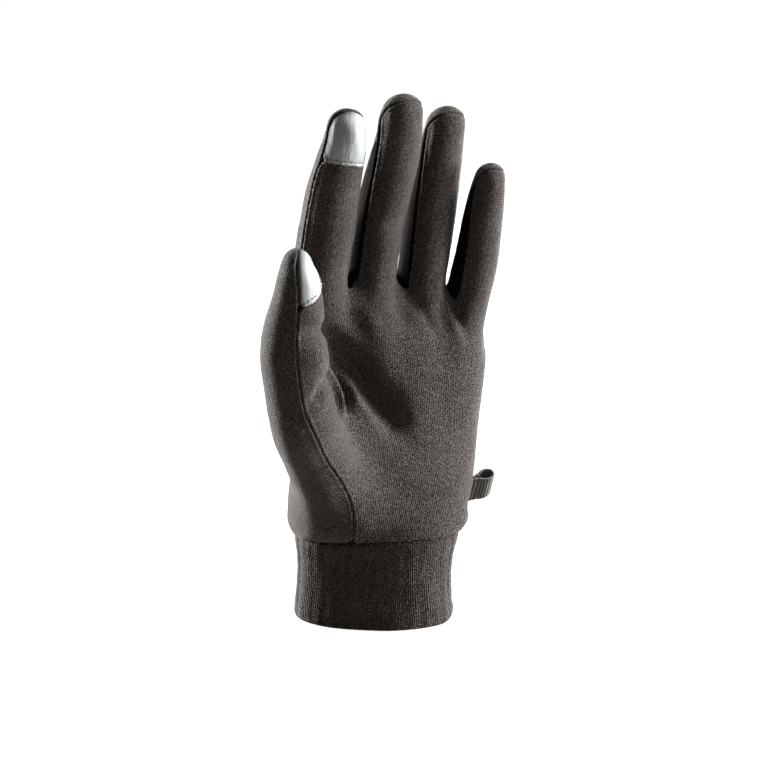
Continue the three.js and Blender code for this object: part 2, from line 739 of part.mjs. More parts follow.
// The loop of webbing in the little finger's side seam: a strap that goes out, round and
// back, rises a little on its way out and leans over the palm. Up to where its two layers
// fork, it follows the slope of the seam.
function makeLoop() {
  const { width, thick, reach, gap, height, rise, lean, fork, clear } = webbing;
  const half = gap / 2 + thick;
  const turn = reach - half;
  const spread = mix(fork, turn, 0.2);
  const outline = new THREE.Shape();
  outline.moveTo(0, -thick);
  outline.bezierCurveTo(fork, -thick, spread, -half, turn, -half);
  outline.absarc(turn, 0, half, -Math.PI / 2, Math.PI / 2, false);
  outline.bezierCurveTo(spread, half, fork, thick, 0, thick);
  outline.closePath();
  const hole = new THREE.Path();
  hole.moveTo(fork, 0);
  hole.bezierCurveTo(spread, -thick / 2, spread, -gap / 2, turn, -gap / 2);
  hole.absarc(turn, 0, gap / 2, -Math.PI / 2, Math.PI / 2, false);
  hole.bezierCurveTo(spread, gap / 2, spread, thick / 2, fork, 0);
  outline.holes.push(hole);
  const strap = new THREE.ExtrudeGeometry(outline, { depth: width, bevelEnabled: false, curveSegments: 6 });
  strap.translate(0, 0, -width / 2);
  const row = handSeams.ulnar.findIndex((p) => p.z > height);
  const root = handSeams.ulnar[row];
  const seam = handSeams.ulnar[row + 1].clone().sub(handSeams.ulnar[row - 1]).normalize();
  const out = slopeAt(root).setZ(0).normalize();
  const slope = seam.dot(out) / seam.z;
  const places = strap.getAttribute('position');
  for (let i = 0; i < places.count; i += 1) {
    const reached = places.getX(i);
    const sewn = Math.max(1 - reached / fork, 0);
    places.setX(i, reached + (slope * places.getZ(i) + clear) * sewn);
  }
  const along = vec(0, 0, 1).applyAxisAngle(out, radians(lean));
  const around = along.clone().cross(out);
  const frame = new THREE.Matrix4().makeBasis(out.addScaledVector(along, rise), around, along);
  return strap.applyMatrix4(frame.setPosition(root));
}

const glove = new THREE.Group();
function place(name, geometry, { colour, roughness }) {
  const material = new THREE.MeshStandardMaterial({ color: colour, roughness, metalness: 0 });
  const mesh = new THREE.Mesh(geometry, material);
  mesh.name = name;
  glove.add(mesh);
}

place('palm_panel', makePanel(true).thicken(wall), finishes.knit);
place('back_panel', makePanel(false).thicken(wall), finishes.knit);
names.slice(1).forEach((name, i) => {
  const fourchette = makeFourchette(fingers[i], fingers[i + 1]);
  place(`fourchette_${names[i]}_${name}`, fourchette.thicken(wall), finishes.knit);
});
const [pointer] = fingers;
const indexPad = makePad(pointer, padLines.index, pointer.frontLeft, pointer.frontRight, padRow.index);
const thumbPad = makePad(thumbSeams, padLines.thumb, thumbSeams.outer, thumbSeams.inner, padRow.thumb);
place('index_touch_pad', indexPad.thicken(wall), finishes.pad);
place('thumb_touch_pad', thumbPad.thicken(wall), finishes.pad);
place('cuff_band', makeCuff(), finishes.cuff);
place('webbing_loop', makeLoop(), finishes.webbing);

export default glove;
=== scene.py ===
# A stretch glove in fine knit, in the form a hand gives it, with silver touch pads on index and thumb.
import math

import bmesh
import bpy
import numpy as np
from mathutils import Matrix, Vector, noise
from mathutils.bvhtree import BVHTree
from mathutils.kdtree import KDTree


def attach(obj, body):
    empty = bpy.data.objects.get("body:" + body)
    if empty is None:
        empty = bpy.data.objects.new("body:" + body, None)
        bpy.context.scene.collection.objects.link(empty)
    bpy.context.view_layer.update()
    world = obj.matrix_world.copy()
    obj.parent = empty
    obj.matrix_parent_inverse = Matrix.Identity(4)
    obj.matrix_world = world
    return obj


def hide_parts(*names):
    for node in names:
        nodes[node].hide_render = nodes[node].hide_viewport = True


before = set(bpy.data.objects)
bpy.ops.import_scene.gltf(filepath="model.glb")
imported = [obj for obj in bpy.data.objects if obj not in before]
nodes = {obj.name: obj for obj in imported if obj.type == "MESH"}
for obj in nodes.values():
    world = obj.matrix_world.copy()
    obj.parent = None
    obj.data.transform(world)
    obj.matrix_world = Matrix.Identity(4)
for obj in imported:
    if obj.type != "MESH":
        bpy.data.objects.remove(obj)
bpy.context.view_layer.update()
mm = 0.001

# camera at the photograph's angle
photoView = {
    "azimuth": -27, "elevation": 12, "distance": 950 * mm, "lens": 100,
    "target": (4.1 * mm, -2.1 * mm, 106.2 * mm),
}
bpy.ops.object.camera_add()
camera = bpy.context.object
camera.name = "photoCamera"
camera.data.lens = photoView["lens"]
camera.data.sensor_width = 36
azimuth, elevation = (math.radians(photoView[key]) for key in ("azimuth", "elevation"))
back = Vector((
    math.sin(azimuth) * math.cos(elevation), -math.cos(azimuth) * math.cos(elevation), math.sin(elevation)))
camera.location = Vector(photoView["target"]) + back * photoView["distance"]
camera.rotation_euler = (math.pi / 2 - elevation, 0, azimuth)
bpy.context.scene.camera = camera
print("camera placed")


# small helpers
def selectOnly(*things):
    bpy.ops.object.select_all(action="DESELECT")
    for thing in things:
        thing.select_set(True)
    bpy.context.view_layer.objects.active = things[0]


def applyModifiers(thing):
    selectOnly(thing)
    for modifier in list(thing.modifiers):
        bpy.ops.object.modifier_apply(modifier=modifier.name)


def pointsOf(thing):
    flat = np.zeros(len(thing.data.vertices) * 3)
    thing.data.vertices.foreach_get("co", flat)
    return flat.reshape(-1, 3)


def normalsOf(thing):
    flat = np.zeros(len(thing.data.vertices) * 3, np.float32)
    thing.data.vertex_normals.foreach_get("vector", flat)
    return flat.reshape(-1, 3).astype(float)


def movePoints(thing, points):
    thing.data.vertices.foreach_set("co", points.ravel())
    thing.data.update()


def copyOfNode(node, name):
    mesh = nodes[node].data.copy()
    mesh.name = name
    piece = bpy.data.objects.new(name, mesh)
    bpy.context.collection.objects.link(piece)
    mesh.materials.clear()
    return piece


# panels, taken from the outward faces of the nodes
sheetCut = {
    "rimHeight": 1.1 * mm,      # the edges across a panel's narrow rim
    "rimMargin": 0.02 * mm,
    "weld": 0.01 * mm,
    "samples": 40,              # faces of an island that say which way it looks
    "mostHits": 40,             # faces that one ray may cross
    "rayStart": 0.05 * mm, "rayStep": 0.01 * mm,
    "quadAngle": math.radians(75),
    "levels": 2,
    "wall": 1.5 * mm,
}
allFaces = bmesh.new()
for node in nodes.values():
    allFaces.from_mesh(node.data)
everything = BVHTree.FromBMesh(allFaces)
allFaces.free()


def facesOutwards(faces):
    # a ray that leaves an outward face crosses only whole fingers, each two walls of two faces
    votes = 0
    for face in faces[::max(1, len(faces) // sheetCut["samples"])]:
        start, way, hits = face.calc_center_median(), face.normal, 0
        at = start + way * sheetCut["rayStart"]
        while hits < sheetCut["mostHits"]:
            found = everything.ray_cast(at, way)[0]
            if found is None:
                break
            hits += 1
            at = found + way * sheetCut["rayStep"]
        votes += 1 if hits % 4 == 0 else -1
    return votes


def outerSheet(node, name, strip):
    piece = copyOfNode(node, name)
    shape = bmesh.new()
    shape.from_mesh(piece.data)
    bmesh.ops.remove_doubles(shape, verts=shape.verts, dist=sheetCut["weld"])
    high, margin = sheetCut["rimHeight"], sheetCut["rimMargin"]
    rim = [f for f in shape.faces if any(abs(e.calc_length() - high) < margin for e in f.edges)]
    bmesh.ops.delete(shape, geom=rim, context="FACES_ONLY")
    bmesh.ops.delete(shape, geom=[e for e in shape.edges if not e.link_faces], context="EDGES")
    bmesh.ops.delete(shape, geom=[v for v in shape.verts if not v.link_faces], context="VERTS")
    left, islands = set(shape.faces), []
    while left:
        ready, island = [left.pop()], []
        while ready:
            face = ready.pop()
            island.append(face)
            for edge in face.edges:
                for other in edge.link_faces:
                    if other in left:
                        left.remove(other)
                        ready.append(other)
        islands.append(island)
    keep = max(islands, key=facesOutwards)
    bmesh.ops.delete(shape, geom=[f for i in islands if i is not keep for f in i], context="FACES")
    shape.to_mesh(piece.data)
    shape.free()
    selectOnly(piece)
    bpy.ops.object.mode_set(mode="EDIT")
    bpy.ops.mesh.select_all(action="SELECT")
    bpy.ops.mesh.tris_convert_to_quads(face_threshold=sheetCut["quadAngle"],
                                       shape_threshold=sheetCut["quadAngle"])
    if strip:
        bpy.ops.mesh.inset(thickness=strip, use_boundary=True, use_even_offset=True)
    bpy.ops.mesh.select_all(action="SELECT")
    bpy.ops.mesh.faces_shade_smooth()
    bpy.ops.uv.unwrap(method="MINIMUM_STRETCH", iterations=30, margin=0)
    bpy.ops.object.mode_set(mode="OBJECT")
    measureUv(piece)
    subdivide = piece.modifiers.new("knit", "SUBSURF")
    subdivide.levels = subdivide.render_levels = sheetCut["levels"]
    applyModifiers(piece)
    return piece


def measureUv(piece):
    # the unwrapped map in metres, turned so that its second axis runs up the hand
    mesh = piece.data
    mesh.calc_loop_triangles()
    uv = np.zeros(len(mesh.loops) * 2)
    mesh.uv_layers.active.data.foreach_get("uv", uv)
    uv = uv.reshape(-1, 2)
    corners = np.zeros(len(mesh.loops), int)
    mesh.loops.foreach_get("vertex_index", corners)
    points = pointsOf(piece)
    loops = np.array([t.loops for t in mesh.loop_triangles])
    a, b, c = (points[corners[loops[:, i]]] for i in range(3))
    real = np.linalg.norm(np.cross(b - a, c - a), axis=1).sum()
    p, q, r = (uv[loops[:, i]] for i in range(3))
    signed = (q[:, 0] - p[:, 0]) * (r[:, 1] - p[:, 1]) - (q[:, 1] - p[:, 1]) * (r[:, 0] - p[:, 0])
    uv *= math.sqrt(real / abs(signed).sum())
    if signed.sum() < 0:
        uv[:, 0] *= -1
    height = points[corners, 2]
    slope = np.linalg.lstsq(np.c_[uv, np.ones(len(uv))], height, rcond=None)[0][:2]
    slope /= np.linalg.norm(slope)
    uv = np.c_[uv @ (slope[1], -slope[0]), uv @ slope]
    mesh.uv_layers.active.data.foreach_set("uv", uv.ravel())


panels = {
    "palmPanel": {"node": "palm_panel", "strip": 1.1 * mm, "slot": "knit",
                  "flat": (0.135, 0.225), "area": 0.0177},
    "backPanel": {"node": "back_panel", "strip": 1.1 * mm, "slot": "knit",
                  "flat": (0.190, 0.225), "area": 0.0258},
    "fourchetteIndexMiddle": {"node": "fourchette_index_middle", "strip": 0, "slot": "knit",
                              "flat": (0.012, 0.130), "area": 0.00125},
    "fourchetteMiddleRing": {"node": "fourchette_middle_ring", "strip": 0, "slot": "knit",
                             "flat": (0.012, 0.135), "area": 0.0013},
    "fourchetteRingLittle": {"node": "fourchette_ring_little", "strip": 0, "slot": "knit",
                             "flat": (0.012, 0.110), "area": 0.00105},
    "indexTouchPad": {"node": "index_touch_pad", "strip": 0.9 * mm, "slot": "touch_pad",
                      "flat": (0.026, 0.028), "area": 0.0006},
    "thumbTouchPad": {"node": "thumb_touch_pad", "strip": 0.9 * mm, "slot": "touch_pad",
                      "flat": (0.026, 0.030), "area": 0.0005},
}
sheets = {name: outerSheet(facts["node"], name, facts["strip"]) for name, facts in panels.items()}
print("sheets cut from the panels' outward faces")


def edgePoints(piece, steps=4):
    mesh = piece.data
    used = {}
    for polygon in mesh.polygons:
        for key in polygon.edge_keys:
            used[key] = used.get(key, 0) + 1
    points = pointsOf(piece)
    edges = np.array([key for key, count in used.items() if count == 1])
    ends = points[edges]
    shares = np.arange(steps) / steps
    dense = ends[:, :1] * (1 - shares[None, :, None]) + ends[:, 1:] * shares[None, :, None]
    return np.unique(edges), dense.reshape(-1, 3)


def treeOf(points):
    tree = KDTree(len(points))
    for i, p in enumerate(points):
        tree.insert(p, i)
    tree.balance()
    return tree


def distances(points, edge):
    tree = treeOf(edge)
    return np.array([tree.find(p)[2] for p in points])


# neighbouring edges are drawn together, so each seam closes
seam = {
    "reach": 1.2 * mm,          # how far a neighbour's edge may be
    "sunk": 0.9 * mm, "sunkWidth": 0.36 * mm,
    "roll": 0.30 * mm, "rollAt": 1.0 * mm, "rollWidth": 0.6 * mm,
    "padSunk": 1.0 * mm, "padSunkWidth": 0.5 * mm, "padFarSunk": 0.5 * mm, "padFarWidth": 0.5 * mm,
    "padLip": 0.35 * mm, "padLipWidth": 0.8 * mm, "padBlend": 6 * mm,
    "sameEdge": 0.3 * mm, "otherEdge": 0.2 * mm,
    "gather": 0.42 * mm, "gatherPitch": 1.5 * mm, "gatherHeight": 9 * mm, "gatherReach": 5.5 * mm,
    "paintedShadeWidth": 2.4 * mm,
    "puff": 0.6 * mm, "puffAt": 44 * mm, "puffWidth": 4 * mm,
    "pucker": 0.16 * mm, "puckerLength": 2.4 * mm, "puckerReach": 3.2 * mm,
    "sewnFrom": 2 * mm, "foldsFrom": 2 * mm, "lumpsFrom": 5 * mm,
}
edges = {name: edgePoints(piece) for name, piece in sheets.items()}
closed = {}
for name, piece in sheets.items():
    own, _ = edges[name]
    others = treeOf(np.concatenate([dense for other, (_, dense) in edges.items() if other != name]))
    points = pointsOf(piece)
    for i in own:
        place, _, far = others.find(points[i])
        if far < seam["reach"]:
            points[i] = (points[i] + np.array(place)) / 2
    closed[name] = points
for name, piece in sheets.items():
    movePoints(piece, closed[name])
print("seams closed")


# at two fingertips the seam is carried towards the far side, with the cloth beside it
carried = [
    {"piece": "indexTouchPad", "centre": None, "radius": 60 * mm, "shift": 4.2 * mm,
     "towards": (0.5, 0.15, 0.85)},
    {"piece": "palmPanel", "centre": (2 * mm, -18 * mm, 222 * mm), "radius": 17 * mm, "shift": 3.0 * mm,
     "towards": (0.2, 0.25, 0.94)},
]
carry = {"blend": 3 * mm, "width": 7 * mm, "reach": 17.5 * mm, "from": 0.05, "fade": 6 * mm}


def carrySeam(facts):
    name = facts["piece"]
    points, normals = pointsOf(sheets[name]), normalsOf(sheets[name])
    own, _ = edgePoints(sheets[name])
    centre = points.mean(axis=0) if facts["centre"] is None else np.array(facts["centre"])
    own = own[np.linalg.norm(points[own] - centre, axis=1) < facts["radius"]]
    away = points[own] - centre
    fade = np.clip((facts["radius"] - np.linalg.norm(away, axis=1)) / carry["fade"], 0, 1)
    away -= normals[own] * (normals[own] * away).sum(axis=1)[:, None]
    away /= np.linalg.norm(away, axis=1)[:, None]
    share = np.clip((away @ np.array(facts["towards"]) - carry["from"]) / (1 - carry["from"]), 0, 1) * fade
    shifts, rim = away * share[:, None] * facts["shift"], points[own]
    for piece in sheets.values():
        places = pointsOf(piece)
        near = np.flatnonzero(distances(places, rim) < carry["reach"])
        if len(near):
            apart = np.linalg.norm(places[near][:, None] - rim[None], axis=2)
            closeness = np.exp(-(apart / carry["blend"]) ** 2) + 1e-12
            shift = closeness @ shifts / closeness.sum(axis=1)[:, None]
            places[near] += shift * np.exp(-(apart.min(axis=1) / carry["width"]) ** 2)[:, None]
            movePoints(piece, places)


# small moves of every sheet round one place, which keep the seams closed
nudges = {
    "indexRight": {"at": (-12.8 * mm, -15.5 * mm, 218 * mm), "by": (1.2 * mm, -0.6 * mm, 0),
                   "width": 6 * mm},
    "indexPadLeft": {"at": ("indexTouchPad", 0), "by": (0, 0, -1.7 * mm), "width": 6 * mm},
    "indexPadRight": {"at": ("indexTouchPad", -1), "by": (0, 0, -2.6 * mm), "width": 7 * mm},
    "thumbPadRight": {"at": ("thumbTouchPad", -1), "by": (0, 0, 3.2 * mm), "width": 7 * mm},
}


# a fourchette's two tips go in under the cloth beside them
tipTuck = {"besidePad": 3.0 * mm, "others": 1.0 * mm, "reach": 8 * mm, "backwards": 0.45}


def tuckTips(name, points):
    moves = np.zeros_like(points)
    if not name.startswith("fourchette"):
        return moves
    left = points[:, 0] < points[:, 0].mean()
    for side, way in ((left, -1), (~left, 1)):
        deep = tipTuck["besidePad" if way < 0 and name == "fourchetteIndexMiddle" else "others"]
        share = np.clip((points[side, 2] - points[side, 2].max()) / tipTuck["reach"] + 1, 0, 1)
        moves[side] = share[:, None] * deep * np.array((way, tipTuck["backwards"], 0))
    return moves


def lowerEdgeOf(name):
    dense = edgePoints(sheets[name])[1]
    low = dense[distances(dense, edgePoints(sheets["palmPanel"])[1]) < seam["sameEdge"]]
    return low[np.argsort(low[:, 0])]


for facts in carried:
    carrySeam(facts)
for facts in nudges.values():
    place = facts["at"]
    centre = lowerEdgeOf(place[0])[place[1]] if isinstance(place[0], str) else np.array(place)
    for piece in sheets.values():
        points = pointsOf(piece)
        share = np.exp(-(np.linalg.norm(points - centre, axis=1) / facts["width"]) ** 2)
        movePoints(piece, points + share[:, None] * np.array(facts["by"]))


# folds as a hand leaves them in the cloth, each a line over the knit, a depth and a half width, in mm
folds = {
    "palmValley": {"line": [(-26, -7.3, 131), (-24.4, -7.4, 128.4), (-18.4, -7.8, 121.6),
                            (-11.6, -7.8, 114.2), (-5.3, -9, 104.8), (1.5, -11.2, 96.4), (4, -13.2, 91.5)],
                   "depth": -6.0, "width": 5.2},
    "palmRidge": {"line": [(-19.4, -8.2, 114.2), (-13.7, -8.2, 106.6), (-9.7, -9.4, 97.4),
                           (-5.6, -12.4, 88.4)], "depth": 1.7, "width": 3.0},
    "thumbPocket": {"line": [(-23.5, -9.5, 120.0), (-20.5, -10, 112.9), (-18.2, -10.2, 106.0),
                             (-18, -11.4, 99)], "depth": -7.0, "width": 3.0},
    "thumbLobe": {"line": [(-28, -13.0, 118.0), (-25, -11.8, 112.5), (-23.2, -11.8, 105.3),
                           (-23.5, -13, 98), (-27, -18, 91)], "depth": 3.6, "width": 2.7},
    "palmLobe": {"line": [(-16, -10.5, 115), (-14.2, -11, 108), (-14, -12, 100)], "depth": 1.6, "width": 2.6},
    "thumbLobeFold": {"line": [(-38.5, -33, 119.2), (-36.0, -31.5, 111), (-34.5, -30.5, 104.0)],
                      "depth": -1.8, "width": 2.4},
    "thumbWaist": {"line": [(-57.2, -46.3, 140.7), (-53, -47.1, 141.3), (-47.8, -45.7, 141.4),
                            (-44.5, -41, 141.0), (-43.5, -36, 140.4), (-44, -31, 140)],
                   "depth": -3.8, "width": 3.2},
    "thumbBulge": {"line": [(-52.4, -44.3, 128.3), (-49, -44.6, 128.3), (-45.5, -41.5, 128.4),
                            (-42, -37, 128.4)], "depth": 1.6, "width": 5.0},
    "thumbBend": {"line": [(-50.4, -41.3, 110.3), (-47, -41.5, 112.5), (-43.9, -40.1, 116.5),
                           (-40.5, -36, 119.5), (-38, -31, 121)], "depth": -3.6, "width": 2.8},
    "crotchRidge": {"line": [(-11, -8, 144), (-5, -8, 136), (1, -8, 127), (6, -8.5, 118)],
                    "depth": 1.4, "width": 4.0},
    "crotchValley": {"line": [(-15, -7.5, 138), (-9, -8, 130), (-3, -8, 121), (3, -9, 112)],
                     "depth": -1.9, "width": 3.6},
    "ringRidge": {"line": [(12, -8, 143), (17, -9, 134), (21, -11, 126), (23, -12, 118)],
                  "depth": 0.8, "width": 3.5},
    "sideDent": {"line": [(40, -20, 49), (43.5, -12, 49.5), (44, -4, 50), (43, 6, 51)],
                 "depth": -4.8, "width": 4.8},
    "ringValley": {"line": [(15.4, -7.2, 144.9), (20.1, -9.7, 137.8), (24.1, -11.6, 130.5)],
                   "depth": -0.9, "width": 2.4},
    "littleRidge": {"line": [(26.6, -10.6, 148.2), (31.9, -8.3, 139.3), (34.6, -12.7, 129.8),
                             (36.5, -14.9, 123.7)], "depth": 0.8, "width": 2.2},
    "littleValley": {"line": [(34, -8.3, 141.4), (37.4, -11.4, 134.8), (39.2, -13.8, 127.4)],
                     "depth": -0.8, "width": 2.2},
    "middleCrease": {"line": [(-5.3, -14.9, 179.6), (2.3, -16, 177.9), (15, -7.7, 177)],
                     "depth": -0.7, "width": 5.0},
}
foldEnds = {"fade": 0.6, "shortest": 0.06, "steps": 60}
cloth = {"lump": 0.35 * mm, "lumpLength": 15 * mm, "ripple": 0.09 * mm, "rippleLength": 4.5 * mm}
seeds = {"gather": 4.2, "pucker": 3.7, "lump": 9.1, "ripple": 21.3}


def foldMoves(points):
    moved = np.zeros(len(points))
    for fold in folds.values():
        line = np.array(fold["line"]) * mm
        along = np.linspace(0, len(line) - 1, foldEnds["steps"])
        path = np.stack([np.interp(along, range(len(line)), line[:, i]) for i in range(3)], axis=1)
        apart = np.linalg.norm(points[:, None] - path[None], axis=2)
        near = apart.argmin(axis=1)
        share = np.clip(near / (len(path) - 1), foldEnds["shortest"], 1 - foldEnds["shortest"])
        fade = np.clip(np.sin(np.pi * share), 0, 1) ** foldEnds["fade"]
        moved += fold["depth"] * mm * fade * np.exp(-(apart.min(axis=1) / (fold["width"] * mm)) ** 2)
    return moved


def smoothNoise(points, length, shift):
    return np.array([noise.noise(Vector(p) / length + Vector((shift, 0, 0))) for p in points])


# the wrist seam rises a little towards the front
wrist = {"rise": 3.3 * mm, "at": 37 * mm, "width": 13 * mm, "facing": (0.087, -0.996),
         "rollFrom": 38.5 * mm, "rollOver": 3 * mm}


def raiseWrist(points):
    ways = points[:, :2] / np.linalg.norm(points[:, :2], axis=1)[:, None]
    share = np.clip(0.5 + 0.5 * ways @ np.array(wrist["facing"]), 0, 1) ** 2
    raised = points.copy()
    raised[:, 2] += wrist["rise"] * share * np.exp(-((points[:, 2] - wrist["at"]) / wrist["width"]) ** 2)
    return raised


def aboveCuff(points):
    return np.clip((points[:, 2] - wrist["rollFrom"]) / wrist["rollOver"], 0, 1)


padNames = ("indexTouchPad", "thumbTouchPad")
edges = {name: edgePoints(piece) for name, piece in sheets.items()}
padLowEdges = {name: lowerEdgeOf(name) for name in padNames}
allLowEdges = np.concatenate(list(padLowEdges.values()))
for name, piece in sheets.items():
    points, normals = pointsOf(piece), normalsOf(piece)
    dense = edges[name][1]
    far = distances(points, dense)
    moved = foldMoves(points) * np.clip(far / seam["foldsFrom"], 0, 1)
    if name in padNames:
        sides = dense[distances(dense, padLowEdges[name]) > seam["otherEdge"]]
        beside = distances(points, sides)
        left = np.clip(0.5 - (points[:, 0] - points[:, 0].mean()) / seam["padBlend"], 0, 1)
        moved -= left * seam["padSunk"] * np.exp(-(beside / seam["padSunkWidth"]) ** 2)
        moved -= (1 - left) * seam["padFarSunk"] * np.exp(-(beside / seam["padFarWidth"]) ** 2)
        low = distances(points, padLowEdges[name])
        moved += seam["padLip"] * np.exp(-(low / seam["padLipWidth"]) ** 2)
        pitch, height = seam["gatherPitch"], seam["gatherHeight"]
        places = [Vector((x / pitch, z / height, seeds["gather"])) for x, _, z in points]
        gathers = np.array([noise.noise(place) for place in places])
        moved += seam["gather"] * gathers * np.exp(-low / seam["gatherReach"])
        # painted shade: this mask darkens the pad's colour along its left side seams, most strongly at the
        # seam
        paintedShade = piece.data.attributes.new("paintedShade", "FLOAT", "POINT")
        paintedShade.data.foreach_set("value", np.sqrt(left) * np.exp(-(beside / seam["paintedShadeWidth"]) ** 2))
    else:
        plain = np.clip(distances(points, allLowEdges) / seam["sewnFrom"] - 0.2, 0, 1) * aboveCuff(points)
        moved -= seam["sunk"] * np.exp(-(far / seam["sunkWidth"]) ** 2) * (0.75 + 0.25 * plain)
        moved += seam["puff"] * np.exp(-((points[:, 2] - seam["puffAt"]) / seam["puffWidth"]) ** 2)
        moved += seam["roll"] * np.exp(-((far - seam["rollAt"]) / seam["rollWidth"]) ** 2) * plain
    puckers = smoothNoise(points, seam["puckerLength"], seeds["pucker"])
    moved += seam["pucker"] * puckers * np.exp(-far / seam["puckerReach"])
    inner = np.clip(far / seam["lumpsFrom"], 0, 1)
    moved += cloth["lump"] * inner * smoothNoise(points, cloth["lumpLength"], seeds["lump"])
    moved += cloth["ripple"] * smoothNoise(points, cloth["rippleLength"], seeds["ripple"])
    movePoints(piece, raiseWrist(points + normals * moved[:, None] + tuckTips(name, points)))
print("folds and seams shaped")


# the cuff, one folded band
cuffBand = {
    "cut": (190 * mm, 76 * mm), "ribs": 190, "columnsPerRib": 4, "ribDepth": 0.11 * mm,
    "top": 37.0 * mm, "tuck": 2.1 * mm, "tuckRise": 1.3 * mm, "tuckRound": 1.6 * mm,
    "wall": 2.6 * mm, "cloth": 1.15 * mm,
    "outerRows": 22, "hemRows": 6, "innerRows": 7,
    "axisSway": 0.25 * mm, "swayFrom": 5 * mm, "wave": 0.9 * mm, "waveLength": 19 * mm,
    "flare": 0.3 * mm, "flareHeight": 6 * mm,
    "startRadius": 35 * mm, "rayFrom": 80 * mm, "lowestRay": 0.8 * mm, "rayBelowTop": 0.1 * mm,
    "crease": 0.9 * mm, "creaseFrom": (38 * mm, -8 * mm, 10 * mm), "creaseTo": (24 * mm, -24 * mm, 4 * mm),
    "creaseWidth": 2.2 * mm,
}
columns = cuffBand["ribs"] * cuffBand["columnsPerRib"]
rowCount = cuffBand["outerRows"] + cuffBand["hemRows"] + cuffBand["innerRows"]
selectOnly(camera)
bpy.ops.mesh.primitive_cylinder_add(vertices=columns, radius=cuffBand["startRadius"], depth=cuffBand["top"],
                                    end_fill_type="NOTHING", location=(0, 0, cuffBand["top"] / 2))
cuff = bpy.context.object
cuff.name = cuff.data.name = "cuffBand"
bpy.ops.object.transform_apply(location=True)
shape = bmesh.new()
shape.from_mesh(cuff.data)
upright = [edge for edge in shape.edges if abs(edge.verts[0].co.z - edge.verts[1].co.z) > mm]
bmesh.ops.subdivide_edges(shape, edges=upright, cuts=rowCount - 1)
shape.to_mesh(cuff.data)
shape.free()
selectOnly(cuff)
bpy.ops.object.mode_set(mode="EDIT")
bpy.ops.mesh.select_all(action="SELECT")
bpy.ops.mesh.faces_shade_smooth()
bpy.ops.object.mode_set(mode="OBJECT")

cuffMesh = bmesh.new()
cuffMesh.from_mesh(nodes["cuff_band"].data)
cuffTree = BVHTree.FromBMesh(cuffMesh)
cuffMesh.free()


def cuffRadius(angle, height):
    way = Vector((math.cos(angle), math.sin(angle), 0))
    at = Vector((0, 0, min(max(height, cuffBand["lowestRay"]), cuffBand["top"] - cuffBand["rayBelowTop"])))
    hit = cuffTree.ray_cast(at + way * cuffBand["rayFrom"], -way)[0]
    return (hit - at).length


def cuffProfile(row):
    # height above the hem, and how far inwards of the outer face
    top, wall = cuffBand["top"], cuffBand["wall"]
    outer, hem, inner = cuffBand["outerRows"], cuffBand["hemRows"], cuffBand["innerRows"]
    rise, rounded = cuffBand["tuckRise"], cuffBand["tuckRound"]
    if row <= outer:
        height = top + rise - (top + rise - wall / 2) * row / outer
        return height, cuffBand["tuck"] * (max(0, height - (top - rounded)) / (rise + rounded)) ** 2
    if row <= outer + hem:
        turn = math.pi * (row - outer) / hem
        return wall / 2 * (1 - math.sin(turn)), wall / 2 * (1 - math.cos(turn))
    share = (row - outer - hem) / inner
    return wall / 2 + (top - wall / 2) * share, wall


profile = [cuffProfile(row) for row in range(rowCount + 1)]
points = pointsOf(cuff)
heights = np.unique(np.round(points[:, 2], 6))[::-1]
placed = points.copy()
for i, (x, y, z) in enumerate(points):
    angle = math.atan2(y, x)
    row = int(np.abs(heights - z).argmin())
    height, inwards = profile[row]
    radius = cuffRadius(angle, height)
    around = Vector((math.cos(angle) * radius, math.sin(angle) * radius, height))
    soft = cuffBand["wave"] * noise.noise(around / cuffBand["waveLength"])
    flare = cuffBand["flare"] * math.exp(-height / cuffBand["flareHeight"])
    start, end = Vector(cuffBand["creaseFrom"]), Vector(cuffBand["creaseTo"])
    share = min(max((around - start).dot(end - start) / (end - start).length_squared, 0), 1)
    apart = (around - start.lerp(end, share)).length
    crease = cuffBand["crease"] * math.exp(-(apart / cuffBand["creaseWidth"]) ** 2)
    outwards = radius - inwards + soft + flare - crease
    sway = cuffBand["axisSway"] * math.sin(3 * angle + 1) * min(1, height / cuffBand["swayFrom"])
    placed[i] = (math.cos(angle) * outwards, math.sin(angle) * outwards, height + sway)
movePoints(cuff, placed)
solid = cuff.modifiers.new("cloth", "SOLIDIFY")
solid.thickness, solid.offset = cuffBand["cloth"], -1
applyModifiers(cuff)
mapped = np.zeros(len(cuff.data.loops) * 2)
cuff.data.uv_layers.active.data.foreach_get("uv", mapped)
mapped = mapped.reshape(-1, 2) * cuffBand["cut"]
cuff.data.uv_layers.active.data.foreach_set("uv", mapped.ravel())
points, normals = pointsOf(cuff), normalsOf(cuff)
faceSide = np.arange(len(points)) < len(placed)
ribs = np.cos(np.arctan2(points[:, 1], points[:, 0]) * cuffBand["ribs"]) * cuffBand["ribDepth"] * faceSide
movePoints(cuff, raiseWrist(points + normals * ribs[:, None]))
print("cuff folded and ribbed")


# the webbing loop, in millimetres
webbing = {
    "root": (44.774, -7.041, 56.025), "out": (0.99212, -0.12530, 0),
    "along": (-0.05882, -0.46577, 0.88295),
    "around": (0.11063, 0.87599, 0.46947), "slope": 0.1752,
    "width": 13, "thick": 1.2, "reach": 10.2, "gap": 5.0, "fork": 3.2, "rise": 0.42, "clear": -3.4,
    "forward": 2.6, "pinch": 0.22, "spread": 0.2, "steps": 60,
    "ribPitch": 1.15, "ribDepth": 0.12, "columnsPerRib": 5, "rows": 14,
    "selvedge": 0.12, "selvedgeFrom": 0.88,
}


def bezier(a, b, c, d, steps):
    t = np.linspace(0, 1, steps)[:, None]
    a, b, c, d = map(np.array, (a, b, c, d))
    return a * (1 - t) ** 3 + 3 * b * t * (1 - t) ** 2 + 3 * c * t * t * (1 - t) + d * t ** 3


